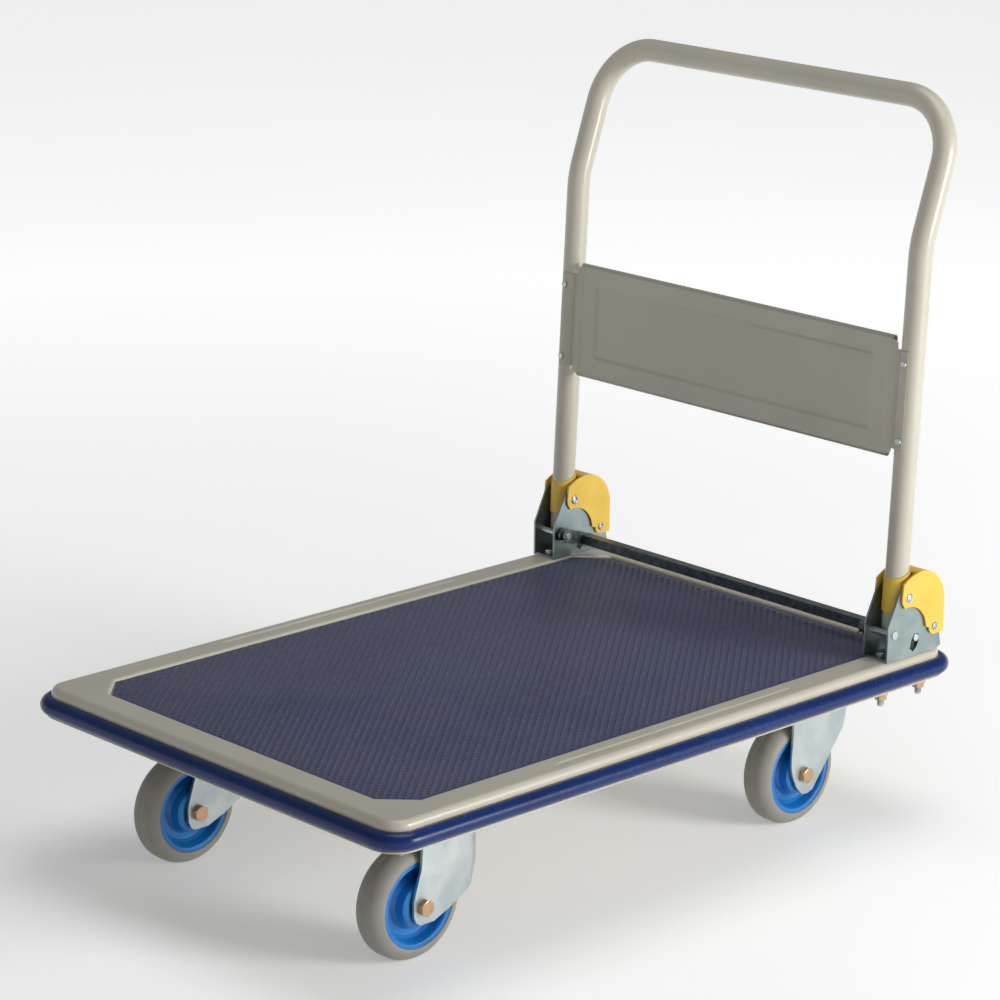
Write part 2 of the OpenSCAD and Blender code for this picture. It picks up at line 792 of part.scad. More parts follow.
module axle_sleeve(x, y) {
    p = [x, wheel_r];
    color(dark_steel) difference() {
        y_rod(p, sleeve_d, y - fork_in, y + fork_in);
        y_rod(p, axle_d + 2 * fit, y - fork_in - 1, y + fork_in + 1);
    }
}

module front_axle_bolts() { for (s = [-1, 1]) axle_bolt(front_axle_x, s * track_y); }
module front_axle_nuts() { for (s = [-1, 1]) axle_nut(front_axle_x, s * track_y); }
module front_axle_sleeves() { for (s = [-1, 1]) axle_sleeve(front_axle_x, s * track_y); }
module rear_axle_bolt_left() { axle_bolt(rear_axle_x, -track_y); }
module rear_axle_bolt_right() { axle_bolt(rear_axle_x, track_y); }
module rear_axle_nut_left() { axle_nut(rear_axle_x, -track_y); }
module rear_axle_nut_right() { axle_nut(rear_axle_x, track_y); }
module rear_axle_sleeve_left() { axle_sleeve(rear_axle_x, -track_y); }
module rear_axle_sleeve_right() { axle_sleeve(rear_axle_x, track_y); }

// ---------------------------------------------------------------- wheels

module on_axle(x, y) {
    translate([x, y, wheel_r]) rotate([-90, 0, 0]) children();
}

module tyre(x, y) {
    h = tyre_w / 2;
    r0 = rim_d / 2;
    color(rubber) on_axle(x, y) rotate_extrude($fn = 128) union() {
        translate([r0, -h + tyre_r]) square([wheel_r - r0, tyre_w - 2 * tyre_r]);
        intersection() {
            translate([r0, -h]) square([wheel_r - r0, tyre_w]);
            union() {
                for (m = [-1, 1]) translate([wheel_r - tyre_r, m * (h - tyre_r)]) circle(tyre_r);
            }
        }
    }
}

module rim(x, y) {
    r0 = rim_d / 2;
    color(blue) on_axle(x, y) difference() {
        rotate_extrude($fn = 128) polygon([[10, -hub_half], [22, -hub_half], [24, -hub_half + 3],
            [24, -7], [38, -4], [44, -17], [r0, -17], [r0, 17], [44, 17], [38, 4], [24, 7],
            [24, hub_half - 3], [22, hub_half], [10, hub_half]]);
        for (m = [0, 1]) mirror([0, 0, m]) translate([0, 0, hub_half - bearing_w])
            cylinder(d = bearing_d, h = bearing_w + 1);
    }
}

module bearings(x, y) {
    color("silver") on_axle(x, y) for (m = [0, 1]) mirror([0, 0, m])
        translate([0, 0, hub_half - bearing_w]) difference() {
            cylinder(d = bearing_d, h = bearing_w);
            translate([0, 0, -1]) cylinder(d = sleeve_d + 2 * fit, h = bearing_w + 2);
        }
}

module tyre_front_left() { tyre(front_axle_x, -track_y); }
module tyre_front_right() { tyre(front_axle_x, track_y); }
module tyre_rear_left() { tyre(rear_axle_x, -track_y); }
module tyre_rear_right() { tyre(rear_axle_x, track_y); }
module rim_front_left() { rim(front_axle_x, -track_y); }
module rim_front_right() { rim(front_axle_x, track_y); }
module rim_rear_left() { rim(rear_axle_x, -track_y); }
module rim_rear_right() { rim(rear_axle_x, track_y); }
module bearings_front_left() { bearings(front_axle_x, -track_y); }
module bearings_front_right() { bearings(front_axle_x, track_y); }
module bearings_rear_left() { bearings(rear_axle_x, -track_y); }
module bearings_rear_right() { bearings(rear_axle_x, track_y); }

deck_pan();
deck_mat();
bumper();
side_rail_left();
side_rail_right();
cross_member_front();
cross_member_rear();
centre_stiffener();
hinge_bracket_left();
hinge_bracket_right();
bracket_bolts();
bracket_washers();
bracket_nuts();
stop_pins();
stop_pin_clips();
handle_tube();
handle_panel();
panel_screws();
hinge_cover_left();
hinge_cover_right();
pivot_rivets();
cover_rivets();
release_bar();
latch_rods();
return_springs();
fixed_fork_left();
fixed_fork_right();
front_caster_bolts();
front_caster_nuts();
front_axle_bolts();
front_axle_nuts();
front_axle_sleeves();
swivel_plate_left();
swivel_plate_right();
kingpins();
kingpin_nuts();
rear_caster_bolts();
rear_caster_nuts();
swivel_fork_left();
swivel_balls_left();
rear_axle_bolt_left();
rear_axle_nut_left();
rear_axle_sleeve_left();
swivel_fork_right();
swivel_balls_right();
rear_axle_bolt_right();
rear_axle_nut_right();
rear_axle_sleeve_right();
tyre_front_left();
rim_front_left();
bearings_front_left();
tyre_front_right();
rim_front_right();
bearings_front_right();
tyre_rear_left();
rim_rear_left();
tyre_rear_right();
rim_rear_right();
bearings_rear_left();
bearings_rear_right();
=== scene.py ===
"""Looks of the platform trolley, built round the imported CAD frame.

Lengths in this file are millimetres in the frame's own axes: X along the deck towards the handle,
Y across it, Z up. Left is -Y. Meshes are written in metres.
"""
import json
import math

import bmesh
import bpy
from mathutils import Matrix, Vector


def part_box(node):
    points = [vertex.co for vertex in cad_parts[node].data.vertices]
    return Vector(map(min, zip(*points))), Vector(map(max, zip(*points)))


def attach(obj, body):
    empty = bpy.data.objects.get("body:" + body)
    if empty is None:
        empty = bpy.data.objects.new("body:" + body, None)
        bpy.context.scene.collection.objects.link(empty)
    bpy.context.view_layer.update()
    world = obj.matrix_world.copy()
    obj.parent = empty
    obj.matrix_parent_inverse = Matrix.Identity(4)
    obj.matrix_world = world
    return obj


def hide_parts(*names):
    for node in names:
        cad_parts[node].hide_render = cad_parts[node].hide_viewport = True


MM = 0.001
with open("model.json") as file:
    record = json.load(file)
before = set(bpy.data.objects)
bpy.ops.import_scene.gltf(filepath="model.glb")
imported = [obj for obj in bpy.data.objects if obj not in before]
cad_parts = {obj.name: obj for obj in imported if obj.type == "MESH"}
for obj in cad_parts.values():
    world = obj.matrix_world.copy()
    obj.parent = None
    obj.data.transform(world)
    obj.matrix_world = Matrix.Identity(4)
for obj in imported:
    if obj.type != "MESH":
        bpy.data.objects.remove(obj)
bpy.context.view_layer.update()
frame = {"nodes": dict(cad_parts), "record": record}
scene = bpy.context.scene


def low(node):
    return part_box(node)[0] / MM


def high(node):
    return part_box(node)[1] / MM


# ------------------------------------------------------------------ materials

def linear(code):
    """Linear RGBA of an sRGB hex colour."""
    parts = [int(code[i:i + 2], 16) / 255 for i in (1, 3, 5)]
    return [c / 12.92 if c <= 0.04045 else ((c + 0.055) / 1.055) ** 2.4 for c in parts] + [1.0]


class Surface:
    """A node material under construction: a Principled shader with object-space textures."""

    def __init__(self, name):
        self.material = bpy.data.materials.new(name)
        self.material.use_nodes = True
        self.nodes = self.material.node_tree.nodes
        self.links = self.material.node_tree.links
        self.shader = self.nodes["Principled BSDF"]
        self.place = self.nodes.new("ShaderNodeTexCoord").outputs["Object"]
        self.height = None

    def fixed(self, **values):
        for key, value in values.items():
            self.shader.inputs[key.replace("_", " ")].default_value = value
        return self

    def stretched(self, sx, sy, sz):
        node = self.nodes.new("ShaderNodeMapping")
        node.inputs["Scale"].default_value = (sx, sy, sz)
        self.links.new(self.place, node.inputs["Vector"])
        return node.outputs["Vector"]

    def noise(self, size_mm, detail=3.0, rough=0.55, place=None):
        node = self.nodes.new("ShaderNodeTexNoise")
        node.inputs["Scale"].default_value = 1000.0 / size_mm
        node.inputs["Detail"].default_value = detail
        node.inputs["Roughness"].default_value = rough
        self.links.new(place or self.place, node.inputs["Vector"])
        return node.outputs["Fac"]

    def cells(self, size_mm):
        node = self.nodes.new("ShaderNodeTexVoronoi")
        node.inputs["Scale"].default_value = 1000.0 / size_mm
        self.links.new(self.place, node.inputs["Vector"])
        return node.outputs["Distance"]

    def ramp(self, value, stops):
        node = self.nodes.new("ShaderNodeValToRGB")
        ramp = node.color_ramp
        while len(ramp.elements) < len(stops):
            ramp.elements.new(0.5)
        for element, (at, colour) in zip(ramp.elements, stops):
            element.position = at
            element.color = linear(colour) if isinstance(colour, str) else (colour,) * 3 + (1,)
        self.links.new(value, node.inputs["Fac"])
        return node.outputs["Color"]

    def span(self, value, low_end, high_end, from_low=0.3, from_high=0.7):
        node = self.nodes.new("ShaderNodeMapRange")
        for key, number in (("From Min", from_low), ("From Max", from_high),
                            ("To Min", low_end), ("To Max", high_end)):
            node.inputs[key].default_value = number
        self.links.new(value, node.inputs["Value"])
        return node.outputs["Result"]

    def mix(self, factor, a, b, mode="MIX"):
        node = self.nodes.new("ShaderNodeMix")
        node.data_type = "RGBA"
        node.blend_type = mode
        for key, source in ((0, factor), (6, a), (7, b)):
            if isinstance(source, (int, float)):
                node.inputs[key].default_value = source
            elif isinstance(source, str):
                node.inputs[key].default_value = linear(source)
            else:
                self.links.new(source, node.inputs[key])
        return node.outputs[2]

    def colour(self, output):
        self.links.new(output, self.shader.inputs["Base Color"])
        return self

    def roughness(self, output):
        self.links.new(output, self.shader.inputs["Roughness"])
        return self

    def bump(self, height, depth_mm, strength=1.0):
        node = self.nodes.new("ShaderNodeBump")
        node.inputs["Distance"].default_value = depth_mm * MM
        node.inputs["Strength"].default_value = strength
        self.links.new(height, node.inputs["Height"])
        if self.height is not None:
            self.links.new(self.height, node.inputs["Normal"])
        self.height = node.outputs["Normal"]
        self.links.new(self.height, self.shader.inputs["Normal"])
        return self

    def edges(self):
        """Bright on convex edges, from the mesh's own curvature."""
        return self.nodes.new("ShaderNodeNewGeometry").outputs["Pointiness"]


def paint(name, base, shade, edge_shade="#8d8a80"):
    s = Surface(name).fixed(Metallic=0.0, Specular_IOR_Level=0.45, Coat_Weight=0.4,
                            Coat_Roughness=0.14)
    tone = s.ramp(s.noise(160, 2), [(0.3, shade), (0.7, base)])
    # painted shade: convex edges are mixed up to halfway towards a darker grey, for rounded edges
    # turned away from the light
    shaded_edges = s.span(s.edges(), 0.0, 0.5, 0.545, 0.62)
    s.colour(s.mix(shaded_edges, tone, edge_shade))
    s.roughness(s.span(s.noise(9, 4), 0.30, 0.42))
    s.bump(s.noise(2.4, 2), 0.035).bump(s.noise(60, 1), 0.10)
    return s.material


def zinc(name, dark, mid, light, rough=(0.30, 0.46), grain=(1.0, 1.0, 6.0)):
    s = Surface(name).fixed(Metallic=1.0)
    cloud = s.ramp(s.noise(34, 4, 0.5), [(0.25, dark), (0.5, mid), (0.75, light)])
    s.colour(cloud)
    drawn = s.noise(5, 4, 0.6, s.stretched(*grain))
    s.roughness(s.span(drawn, *rough))
    s.bump(drawn, 0.02).bump(s.noise(18, 2), 0.05)
    return s.material


def passivated(name):
    s = Surface(name).fixed(Metallic=1.0)
    s.colour(s.ramp(s.noise(5, 4, 0.65), [(0.25, "#a58453"), (0.45, "#c4a27a"), (0.6, "#cfa48e"),
                                          (0.75, "#b8a27c")]))
    s.roughness(s.span(s.noise(2.5, 3), 0.26, 0.42))
    s.bump(s.noise(3, 3), 0.03)
    return s.material


def yellow_plastic(name):
    s = Surface(name).fixed(Metallic=0.0, Specular_IOR_Level=0.5, Subsurface_Weight=0.06,
                            Subsurface_Scale=0.004)
    s.colour(s.ramp(s.noise(45, 3), [(0.3, "#d4ae3c"), (0.7, "#dfba46")]))
    s.roughness(s.span(s.noise(3, 4), 0.36, 0.50))
    s.bump(s.noise(0.9, 3), 0.030).bump(s.noise(26, 1), 0.08)
    return s.material


def blue_plastic(name):
    s = Surface(name).fixed(Metallic=0.0, Specular_IOR_Level=0.5, Coat_Weight=0.15,
                            Coat_Roughness=0.25)
    s.colour(s.ramp(s.noise(30, 3), [(0.3, "#0a62a8"), (0.7, "#1276bd")]))
    s.roughness(s.span(s.noise(2.5, 3), 0.26, 0.42))
    s.bump(s.noise(1.2, 2), 0.025).bump(s.noise(14, 1), 0.06)
    return s.material


def tyre_rubber(name):
    s = Surface(name).fixed(Metallic=0.0, Specular_IOR_Level=0.42)
    tone = s.ramp(s.noise(24, 5, 0.6), [(0.3, "#85837b"), (0.7, "#8d8b82")])
    specks = s.span(s.cells(1.3), 0.0, 0.12, 0.10, 0.0)
    s.colour(s.mix(specks, tone, "#5c5a52"))
    s.roughness(s.span(s.noise(6, 4), 0.46, 0.64))
    s.bump(s.noise(1.5, 4), 0.04)
    return s.material


def bumper_vinyl(name):
    s = Surface(name).fixed(Metallic=0.0, Specular_IOR_Level=0.22, Coat_Weight=0.15,
                            Coat_Roughness=0.2)
    s.colour(s.ramp(s.noise(120, 3), [(0.3, "#0c2355"), (0.7, "#112b62")]))
    s.roughness(s.span(s.noise(14, 4), 0.20, 0.32))
    s.bump(s.noise(90, 1), 0.08)
    return s.material


def mat_rubber(name):
    s = Surface(name).fixed(Metallic=0.0, Specular_IOR_Level=0.42, Sheen_Weight=0.06)
    tone = s.ramp(s.noise(190, 3), [(0.3, "#353b58"), (0.55, "#3b4160"), (0.8, "#474552")])
    scuffs = s.span(s.noise(14, 6, 0.7), 0.0, 0.35, 0.52, 0.72)
    s.colour(s.mix(scuffs, tone, "#56586a"))
    s.roughness(s.span(s.noise(5, 4), 0.44, 0.60))
    s.bump(s.noise(0.8, 3), 0.03)
    return s.material


def plain_steel(name, dark, light):
    s = Surface(name).fixed(Metallic=1.0)
    s.colour(s.ramp(s.noise(8, 4), [(0.3, dark), (0.7, light)]))
    s.roughness(s.span(s.noise(3, 4), 0.30, 0.48))
    s.bump(s.noise(1.5, 3), 0.015)
    return s.material


MATERIALS = {
    "beige_paint": paint("beige_enamel", "#bab5a6", "#b2ad9d"),
    "panel_paint": paint("panel_enamel", "#b0ad9d", "#a8a595"),
    "frame_paint": paint("frame_enamel", "#a39e90", "#979284"),
    "navy_bumper": bumper_vinyl("navy_vinyl"),
    "mat_rubber": mat_rubber("slate_mat"),
    "zinc_plate": zinc("bright_zinc", "#aab5b6", "#bac3c3", "#cbd2d0"),
    "bracket_zinc": zinc("bracket_zinc", "#808c8d", "#8f9b9b", "#a2acab"),
    "yellow_zinc": passivated("yellow_zinc"),
    "yellow_plastic": yellow_plastic("yellow_moulding"),
    "blue_plastic": blue_plastic("blue_nylon"),
    "tyre_rubber": tyre_rubber("grey_elastic_rubber"),
    "spring_steel": plain_steel("spring_steel", "#737a7b", "#9aa2a2"),
    "bearing_steel": plain_steel("bearing_steel", "#8b8f90", "#c2c6c7"),
    # painted shade: a darker zinc for the release bar, whose front faces away from the light and
    # mirrors the dark surroundings
    "bar_zinc_painted_shade": plain_steel("zinc_painted_shade", "#586163", "#7c8789"),
}
NODE_SLOT = {e["node"]: e["material_slot"] for e in frame["record"]["subparts"]}
NODE_BODY = {n: body for body, nodes in frame["record"]["behaviour"]["bodies"].items()
             for n in nodes}


# ------------------------------------------------------------------ mesh helpers

def raw_mesh(name, verts, faces):
    """A mesh in metres from millimetre points."""
    mesh = bpy.data.meshes.new(name)
    mesh.from_pydata([tuple(c * MM for c in v) for v in verts], [], faces)
    return mesh


def closed_mesh(name, verts, faces):
    """A mesh with its seams welded and its faces turned outwards."""
    mesh = raw_mesh(name, verts, faces)
    bm = bmesh.new()
    bm.from_mesh(mesh)
    bmesh.ops.remove_doubles(bm, verts=bm.verts, dist=1e-6)
    bmesh.ops.recalc_face_normals(bm, faces=bm.faces)
    bm.to_mesh(mesh)
    bm.free()
    return mesh


def smooth(mesh):
    mesh.polygons.foreach_set("use_smooth", [True] * len(mesh.polygons))


def settle(name, mesh, node, look=None, sharp=32):
    """Links a finished mesh as the piece that replaces a CAD node, with its body and slot.

    look is a material other than the slot's own; edges over sharp degrees stay hard.
    """
    slot = NODE_SLOT[node]
    mesh.materials.clear()
    mesh.materials.append(MATERIALS[look or slot])
    if sharp:
        smooth(mesh)
        mesh.set_sharp_from_angle(angle=math.radians(sharp))
    obj = bpy.data.objects.new(name, mesh)
    scene.collection.objects.link(obj)
    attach(obj, NODE_BODY[node])
    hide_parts(node)
    return obj


def piece(name, verts, faces, node, sharp=32):
    """A piece from millimetre points."""
    settle(name, closed_mesh(name, verts, faces), node, sharp=sharp)


def with_modifiers(mesh, *modifiers):
    """The mesh after modifiers, each (type, settings)."""
    obj = bpy.data.objects.new("loose", mesh)
    scene.collection.objects.link(obj)
    for kind, settings in modifiers:
        modifier = obj.modifiers.new(kind, kind)
        for key, value in settings.items():
            setattr(modifier, key, value)
    bpy.context.view_layer.update()
    graph = bpy.context.evaluated_depsgraph_get()
    done = bpy.data.meshes.new_from_object(obj.evaluated_get(graph), depsgraph=graph)
    bpy.data.objects.remove(obj)
    return done


def refined(node, round_mm, limit=30, segments=3, look=None, shape=None, extra=None):
    """The CAD node's shape with its edges rounded, as real plate, plastic or turned steel has.

    Edges over limit degrees are rounded. shape moves a point of the copy, and extra is a
    (verts, faces) shape joined to it.
    """
    mesh = frame["nodes"][node].data.copy()
    bm = bmesh.new()
    bm.from_mesh(mesh)
    bmesh.ops.remove_doubles(bm, verts=bm.verts, dist=2e-6)
    bmesh.ops.dissolve_limit(bm, angle_limit=math.radians(0.5), verts=bm.verts, edges=bm.edges)
    if shape:
        for v in bm.verts:
            v.co = shape(v.co / MM) * MM
    if extra:
        bm.from_mesh(closed_mesh("extra", *extra))
    bm.to_mesh(mesh)
    bm.free()
    mesh.materials.clear()
    smooth(mesh)
    bevel = {"width": round_mm * MM, "segments": segments, "limit_method": "ANGLE",
             "angle_limit": math.radians(limit), "use_clamp_overlap": True,
             "miter_outer": "MITER_ARC"}
    done = with_modifiers(mesh, ("BEVEL", bevel), ("WEIGHTED_NORMAL", {"keep_sharp": True}))
    settle(node + "_finished", done, node, look, sharp=None)


def strip(rings, closed_ring=True, closed_path=False):
    """Faces between successive rings of equal length, for points listed ring by ring."""
    n = len(rings[0])
    faces = []
    for i in range(len(rings) - (0 if closed_path else 1)):
        a, b = i * n, ((i + 1) % len(rings)) * n
        for j in range(n if closed_ring else n - 1):
            k = (j + 1) % n
            faces.append((a + j, a + k, b + k, b + j))
    return [p for ring in rings for p in ring], faces


def arc(cx, cy, r, a0, a1, n):
    """Points of an arc in its plane, angles in degrees, both ends included."""
    return [(cx + r * math.cos(math.radians(a0 + (a1 - a0) * i / n)),
             cy + r * math.sin(math.radians(a0 + (a1 - a0) * i / n))) for i in range(n + 1)]


def line(start, end, n):
    """n + 1 evenly spaced points of the plane, both ends included."""
    return [(start[0] + (end[0] - start[0]) * i / n, start[1] + (end[1] - start[1]) * i / n)
            for i in range(n + 1)]


def rounded(points, r, n, closed=True):
    """A polyline with each corner rounded to about r in n steps."""
    out = []
    count = len(points)
    for i, p in enumerate(points):
        if not closed and i in (0, count - 1):
            out.append(tuple(p))
            continue
        p = Vector(p)
        a = Vector(points[i - 1]) - p
        b = Vector(points[(i + 1) % count]) - p
        half = a.angle(b) / 2
        reach = min(r / math.tan(half), 0.49 * a.length, 0.49 * b.length)
        start = p + a.normalized() * reach
        end = p + b.normalized() * reach
        for k in range(n + 1):
            t = k / n
            out.append(tuple((1 - t) ** 2 * start + 2 * t * (1 - t) * p + t * t * end))
    return out


def lathe(profile, x, y, z, segments):
    """Turns a closed profile of (radius, along) points about the Y axis through x, y, z."""
    rings = []
    for i in range(segments):
        a = 2 * math.pi * i / segments
        c, s = math.cos(a), math.sin(a)
        rings.append([(x + r * c, y + h, z + r * s) for r, h in profile])
    return strip(rings, True, True)


def joined(*shapes):
    """Several (verts, faces) shapes as one."""
    verts, faces = [], []
    for v, f in shapes:
        base = len(verts)
        verts += v
        faces += [tuple(base + i for i in face) for face in f]
    return verts, faces


def mirrored(shape):
    """The shape on the other side of the XZ plane."""
    verts, faces = shape
    return [(x, -y, z) for x, y, z in verts], [tuple(reversed(f)) for f in faces]


def prism(outline, y0, y1):
    """A plate drawn in X and Z, from y0 to y1."""
    n = len(outline)
    verts = [(x, y0, z) for x, z in outline] + [(x, y1, z) for x, z in outline]
    faces = [tuple(range(n)), tuple(reversed(range(n, 2 * n)))]
    faces += [(i, (i + 1) % n, n + (i + 1) % n, n + i) for i in range(n)]
    return verts, faces


# ------------------------------------------------------------------ deck

PAN_LIFT = 3.8                          # the pan's and bumper's lower edges sit this much
BUMPER_LIFT = 4                         # higher than in the CAD
DECK_TOP = high("deck_pan").z
PAN_BOTTOM = low("deck_pan").z + PAN_LIFT
BUMPER_LOW, BUMPER_HIGH = low("bumper").z + BUMPER_LIFT, high("bumper").z
BUMPER_OUT = 13
PAN_HALF = (high("bumper").x - BUMPER_OUT, high("bumper").y - BUMPER_OUT)
PAN_R = 27
EDGE_R = 7.5
SHEET = 1.6
MAT_HALF = (high("deck_mat").x, high("deck_mat").y)
MAT_CUT = 35
MAT_GAP = 1
MAT_LOW, MAT_HIGH = low("deck_mat").z, high("deck_mat").z
GROOVE_Y, GROOVE_HALF_L, GROOVE_HALF_W, GROOVE_DEPTH = 278, 188, 4.2, 1.7
LONG_POINTS, SHORT_POINTS, CORNER_POINTS = 240, 140, 16
BORDER_STEPS = 36
CORNERS = ((1, 1), (-1, 1), (-1, -1), (1, -1))


def deck_ring(d):
    """The pan's outline moved outwards by d: a list of (x, y)."""
    hx, hy = PAN_HALF[0] - PAN_R, PAN_HALF[1] - PAN_R
    out = []
    for quarter, (sx, sy) in enumerate(CORNERS):
        out += arc(sx * hx, sy * hy, PAN_R + d, 90 * quarter, 90 * quarter + 90, CORNER_POINTS)
        x, y = out[-1]
        if quarter % 2 == 0:
            out += line((x, y), (x - sx * 2 * hx, y), LONG_POINTS)[1:-1]
        else:
            out += line((x, y), (x, y - sy * 2 * hy), SHORT_POINTS)[1:-1]
    return out


def mat_ring(grow, cut):
    """The mat's eight-sided outline moved outwards by grow, point for point with deck_ring."""
    hx, hy = MAT_HALF[0] + grow, MAT_HALF[1] + grow
    out = []
    for quarter, (sx, sy) in enumerate(CORNERS):
        first = (sx * hx, sy * (hy - cut))
        second = (sx * (hx - cut), sy * hy)
        next_x, next_y = CORNERS[(quarter + 1) % 4]
        if quarter % 2 == 0:
            out += line(first, second, CORNER_POINTS)
            out += line(second, (next_x * (hx - cut), next_y * hy), LONG_POINTS)[1:-1]
        else:
            out += line(second, first, CORNER_POINTS)
            out += line(first, (next_x * hx, next_y * (hy - cut)), SHORT_POINTS)[1:-1]
    return out


def swept(outline, profile):
    """Rings of an outline at each (offset, height) of a profile."""
    return [[(x, y, z) for x, y in outline(d)] for d, z in profile]


def recess(grow):
    return mat_ring(grow, MAT_CUT)


def groove(x, y):
    """Depth of the pressed grooves in the long borders."""
    along = max(abs(x) - (GROOVE_HALF_L - GROOVE_HALF_W), 0)
    away = math.hypot(along, abs(y) - GROOVE_Y) / GROOVE_HALF_W
    return GROOVE_DEPTH * math.cos(min(away, 1) * math.pi / 2) ** 2 if away < 1 else 0.0


def border_rings():
    """The flat border with its grooves, from the rounded edge to the recess."""
    border_out = deck_ring(-EDGE_R)
    border_in = mat_ring(MAT_GAP + 3.4, MAT_CUT + 1)
    rings = []
    for k in range(1, BORDER_STEPS + 1):
        t = k / BORDER_STEPS
        ring = []
        for (ax, ay), (bx, by) in zip(border_out, border_in):
            x, y = ax + (bx - ax) * t, ay + (by - ay) * t
            ring.append((x, y, DECK_TOP - groove(x, y)))
        rings.append(ring)
    return rings


def deck_pan():
    """One pressed sheet with wall, rounded edge, border and recess, and a hem under the bumper."""
    wall = [(0, PAN_BOTTOM + SHEET), (0, PAN_BOTTOM + 8), (0, BUMPER_HIGH), (0, DECK_TOP - EDGE_R)]
    wall += arc(-EDGE_R, DECK_TOP - EDGE_R, EDGE_R, 0, 90, 8)[1:]
    step = [(MAT_GAP + 2.5, DECK_TOP - 0.15), (MAT_GAP + 1.6, DECK_TOP - 0.6),
            (MAT_GAP + 0.8, DECK_TOP - 1.4), (MAT_GAP + 0.2, DECK_TOP - 2.4),
            (MAT_GAP, MAT_LOW + 0.6), (MAT_GAP - 0.8, MAT_LOW)]
    rings = swept(deck_ring, wall) + border_rings() + swept(recess, step)
    verts, faces = strip(rings)
    n = len(rings[0])
    faces.append(tuple(len(verts) - n + i for i in range(n)))
    thick = {"thickness": SHEET * MM, "offset": -1, "use_even_offset": True}
    sheet = with_modifiers(closed_mesh("sheet", verts, faces), ("SOLIDIFY", thick))
    bead_r, bead_out = 1.15, 4.7
    bead_low = PAN_BOTTOM + 0.7
    hem = [(-SHEET, bead_low), (bead_out - 0.1, bead_low)]
    hem += arc(bead_out, bead_low + bead_r, bead_r, -90, 90, 8) + [(-SHEET, PAN_BOTTOM + 3)]
    whole = bmesh.new()
    whole.from_mesh(sheet)
    whole.from_mesh(raw_mesh("hem", *strip(swept(deck_ring, hem), True, True)))
    bmesh.ops.recalc_face_normals(whole, faces=whole.faces)
    whole.to_mesh(sheet)
    whole.free()
    settle("deck_pan_pressed", sheet, "deck_pan")


def bumper():
    """A half-round moulding whose flat back lies on the pan's wall."""
    mid = (BUMPER_LOW + BUMPER_HIGH) / 2
    r = (BUMPER_HIGH - BUMPER_LOW) / 2
    profile = [(0.2, BUMPER_LOW + 0.4), (0.2, BUMPER_HIGH - 0.4), (0.6, BUMPER_HIGH)]
    profile += arc(BUMPER_OUT - r, mid, r, 90, -90, 26) + [(0.6, BUMPER_LOW)]
    verts, faces = strip(swept(deck_ring, profile), True, True)
    piece("bumper_moulded", verts, faces, "bumper", sharp=60)


STUD_PITCH = 8.0
STUD_R = 2.75
STUD_LONG, STUD_WIDE = 1.25, 0.85       # half axes of a stud, as parts of STUD_R
STUD_LEVELS = ((1, 0.0), (0.82, 0.55), (0.42, 0.85))  # part of the radius, height
STUD_TURN = 40                          # degrees from X to the rows
STUD_SIDES = 8
STUD_INSET = 5.5                        # from the mat's edge to the nearest stud centre


def stud(x, y, turn_c, turn_s):
    """A raised oval, as a (verts, faces) shape without its underside."""
    rings = []
    for scale, up in STUD_LEVELS:
        r = STUD_R * scale
        ring = []
        for k in range(STUD_SIDES):
            a = math.radians(45 + 360 * k / STUD_SIDES)
            u, v = r * STUD_LONG * math.cos(a), r * STUD_WIDE * math.sin(a)
            ring.append((x + u * turn_c - v * turn_s, y + u * turn_s + v * turn_c, MAT_HIGH + up))
        rings.append(ring)
    verts, faces = strip(rings)
    faces.append(tuple(len(verts) - STUD_SIDES + k for k in range(STUD_SIDES)))
    return verts, faces


def deck_mat():
    """The rubber slab with softened edges and rows of studs."""
    slab = [(-0.3, MAT_LOW), (0, MAT_LOW + 0.4), (0, MAT_HIGH - 1), (-0.3, MAT_HIGH - 0.3),
            (-1, MAT_HIGH)]
    verts, faces = strip(swept(recess, slab))
    n = len(verts) // len(slab)
    faces.append(tuple(len(verts) - n + i for i in range(n)))
    faces.append(tuple(reversed(range(n))))
    shapes = [(verts, faces)]
    hx, hy = MAT_HALF[0] - STUD_INSET, MAT_HALF[1] - STUD_INSET
    corner = MAT_HALF[0] + MAT_HALF[1] - MAT_CUT - STUD_INSET * 0.6
    reach = int((hx + hy) / STUD_PITCH) + 2
    turn_c, turn_s = math.cos(math.radians(STUD_TURN)), math.sin(math.radians(STUD_TURN))
    for i in range(-reach, reach + 1):
        for j in range(-reach, reach + 1):
            x = (i * turn_c - j * turn_s) * STUD_PITCH
            y = (i * turn_s + j * turn_c) * STUD_PITCH
            if abs(x) <= hx and abs(y) <= hy and abs(x) + abs(y) <= corner:
                shapes.append(stud(x, y, turn_c, turn_s))
    mesh = raw_mesh("deck_mat_studded", *joined(*shapes))
    settle("deck_mat_studded", mesh, "deck_mat", sharp=50)


# ------------------------------------------------------------------ handle

PIVOT = (367, 285)
LEAN = 2.6
LEG_Y = 276
TUBE_R = 14
TUBE_WALL = 2
TUBE_BREAK = 0.5
LEG_FOOT = 47
BEND_R = 120
BEND_A = math.degrees(math.atan2(7, 24))
CORNER_R = 72
GRIP_X, GRIP_Z = 440, 856


def leaning(points):
    """Places points of the handle's own frame, whose z runs up the legs from the fold axis."""
    c, s = math.cos(math.radians(LEAN)), math.sin(math.radians(LEAN))
    return [(PIVOT[0] + x * c + z * s, y, PIVOT[1] - x * s + z * c) for x, y, z in points]


